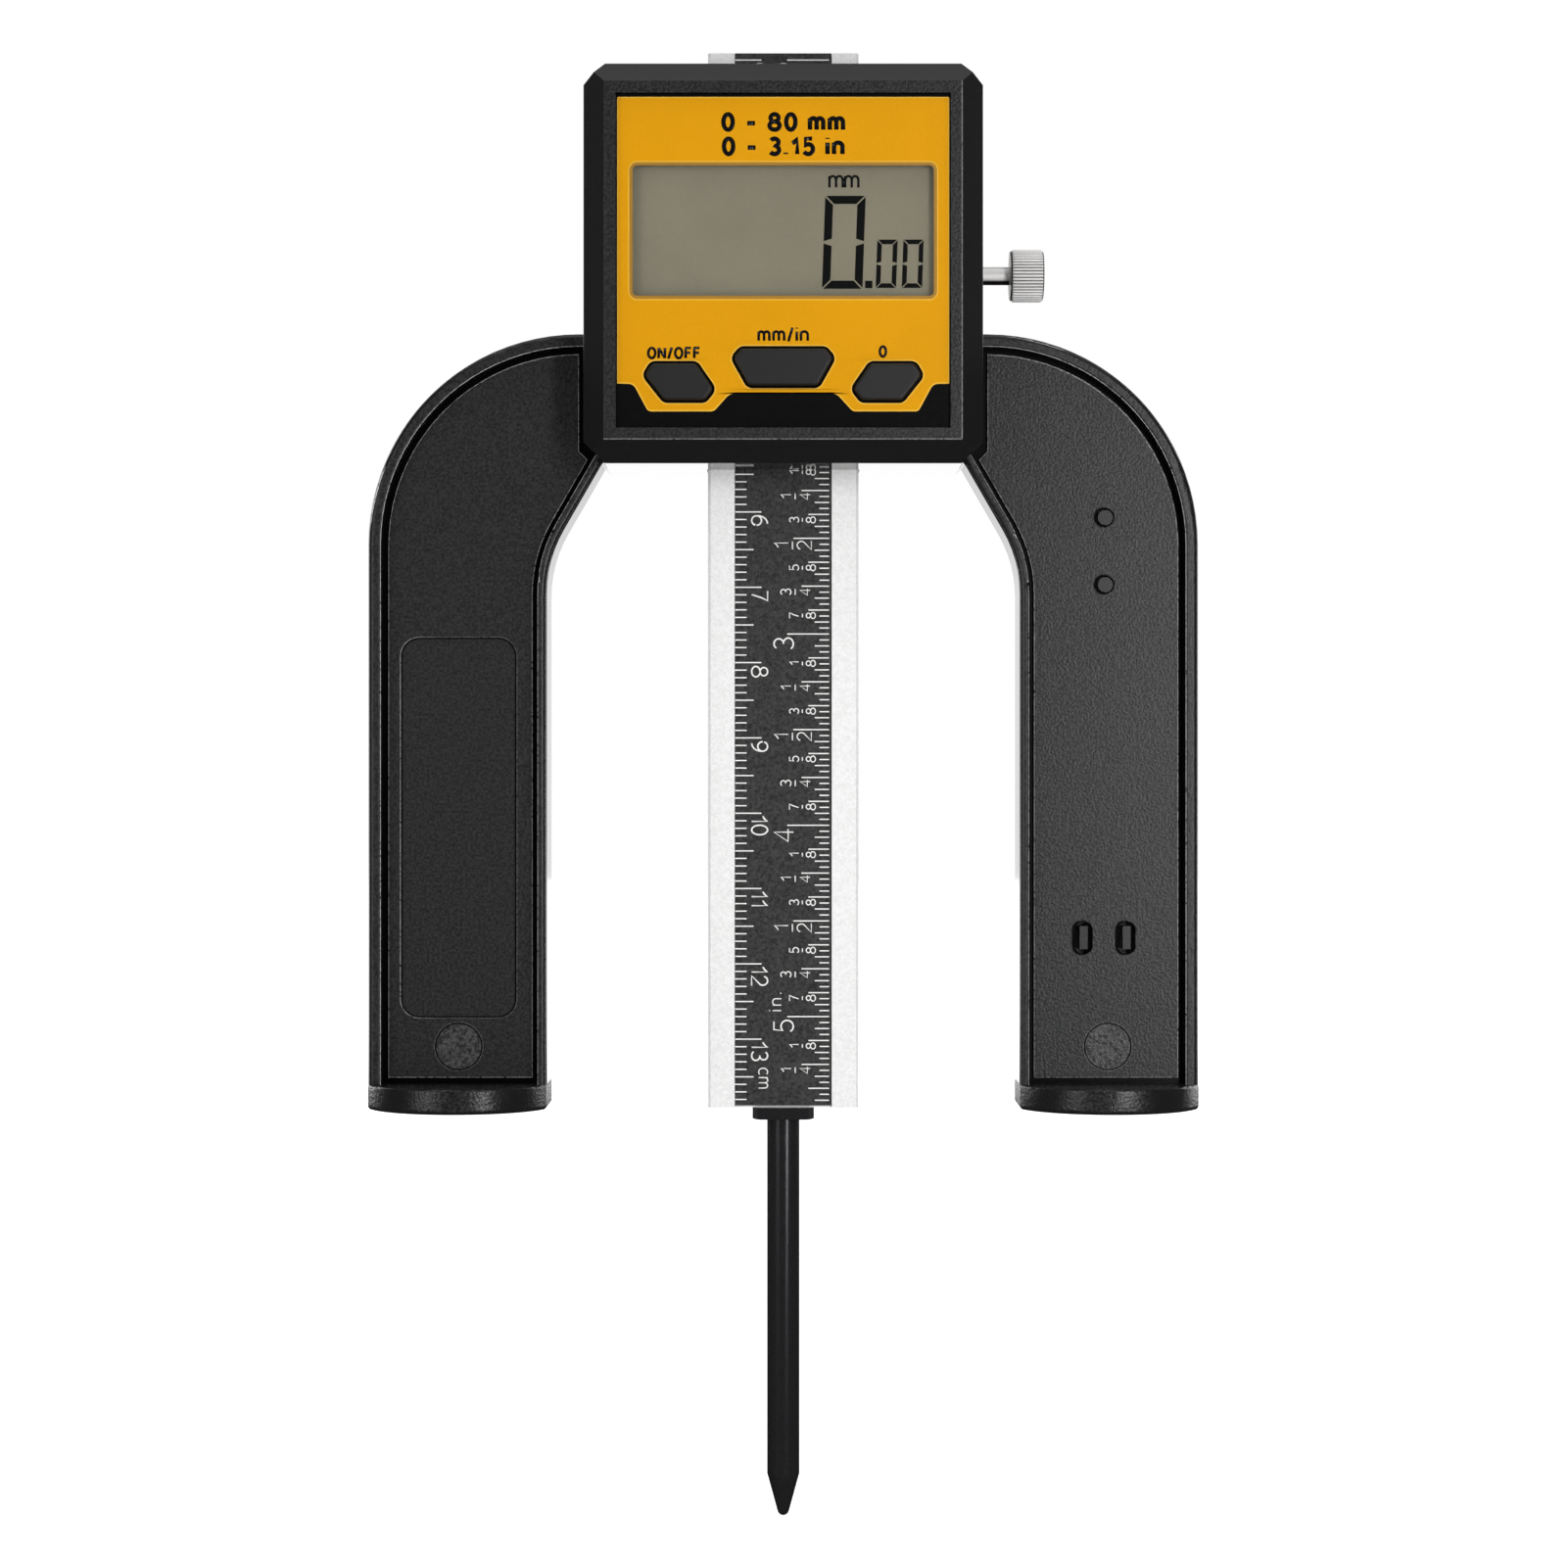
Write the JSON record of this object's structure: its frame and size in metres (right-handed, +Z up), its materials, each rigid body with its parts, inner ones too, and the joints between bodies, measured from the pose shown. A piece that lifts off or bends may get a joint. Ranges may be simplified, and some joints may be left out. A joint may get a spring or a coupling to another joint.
{
  "type": "depth gauge",
  "caption": "Bridge-type digital depth gauge: arched legs with magnetic feet, square readout head, and a sliding scale bar with a pointed probe and a lock screw.",
  "frame": {"origin": "where the scale bar's axis meets the plane of the foot soles", "axes": "+Z up along the bar, +X to the reader's right, +Y away from the reader through the back of the head"},
  "size_m": [0.1096, 0.0268, 0.1945],
  "materials": {
    "bridge_plastic": "black moulded ABS, finely textured",
    "case_plastic": "black moulded ABS, fine spark texture",
    "door_plastic": "black moulded ABS, fine spark texture",
    "holder_plastic": "black moulded nylon",
    "face_print": "yellow and black printed panel, satin",
    "window_plastic": "clear acrylic, gloss",
    "display_glass": "reflective LCD cell, grey",
    "display_holder_plastic": "white moulded ABS",
    "connector_rubber": "layered silicone, half conductive",
    "board_laminate": "green solder mask on glass laminate",
    "chip_resin": "black epoxy blob",
    "switch_plastic": "black switch bodies",
    "screw_steel": "zinc plated steel",
    "gib_brass": "machined brass",
    "spring_steel": "bright spring steel",
    "insert_brass": "turned brass",
    "pad_nylon": "natural nylon",
    "knob_nickel": "bright nickel plated brass",
    "cell_steel": "nickel plated steel can",
    "contact_steel": "nickel plated spring strip",
    "bar_aluminium": "bead blasted, anodised",
    "label_print": "dark grey printed film, white graduations",
    "grid_laminate": "etched strip of glass laminate",
    "probe_steel": "black oxide steel, satin",
    "magnet_nickel": "nickel plated neodymium",
    "button_plastic": "dark grey moulded caps"
  },
  "bodies": {
    "frame": {"bridge_body": "bridge_plastic", "left_magnet": "magnet_nickel", "right_magnet": "magnet_nickel", "probe_holder": "holder_plastic", "front_case": "case_plastic", "face_plate": "face_print", "lcd_window": "window_plastic", "lcd_glass": "display_glass", "lcd_holder": "display_holder_plastic", "zebra_strips": "connector_rubber", "main_board": "board_laminate", "control_chip": "chip_resin", "tact_switches": "switch_plastic", "board_screws": "screw_steel", "case_screws": "screw_steel", "gib_strip": "gib_brass", "gib_springs": "spring_steel", "lock_insert": "insert_brass", "coin_cell": "cell_steel", "battery_contact_plus": "contact_steel", "battery_contact_minus": "contact_steel"},
    "bar": {"scale_bar": "bar_aluminium", "scale_label": "label_print", "scale_grid": "grid_laminate", "stop_screw": "screw_steel", "probe": "probe_steel"},
    "left_button": {"left_button": "button_plastic"},
    "middle_button": {"middle_button": "button_plastic"},
    "right_button": {"right_button": "button_plastic"},
    "lock_pad": {"lock_pad": "pad_nylon"},
    "lock_screw": {"lock_screw": "knob_nickel"},
    "battery_door": {"battery_door": "door_plastic"}
  },
  "joints": [
    {"name": "bar_slide", "type": "slide", "parent": "frame", "child": "bar", "axis": [0, 0, 1], "range_m": [0, 0.08]},
    {"name": "left_button_press", "type": "slide", "parent": "frame", "child": "left_button", "axis": [0, 1, 0], "range_m": [0, 0.0005], "stiffness_N_per_m": 1500, "springref_m": -0.0002},
    {"name": "middle_button_press", "type": "slide", "parent": "frame", "child": "middle_button", "axis": [0, 1, 0], "range_m": [0, 0.0005], "stiffness_N_per_m": 1500, "springref_m": -0.0002},
    {"name": "right_button_press", "type": "slide", "parent": "frame", "child": "right_button", "axis": [0, 1, 0], "range_m": [0, 0.0005], "stiffness_N_per_m": 1500, "springref_m": -0.0002},
    {"name": "lock_pad_slide", "type": "slide", "parent": "frame", "child": "lock_pad", "axis": [1, 0, 0], "range_m": [-0.000075, 0.0009]},
    {"name": "lock_screw_turn", "type": "hinge", "parent": "lock_pad", "child": "lock_screw", "pos_m": [0.03, 0, 0.1107], "axis": [1, 0, 0], "range_deg": [-60.5, 720.5]},
    {"name": "battery_door_slide", "type": "slide", "parent": "frame", "child": "battery_door", "axis": [0, 0, -1], "range_m": [0, 0.029]}
  ],
  "couplings": [
    {"joint": "lock_screw_turn", "follows": "lock_pad_slide", "rad_per_m": 13963}
  ]
}
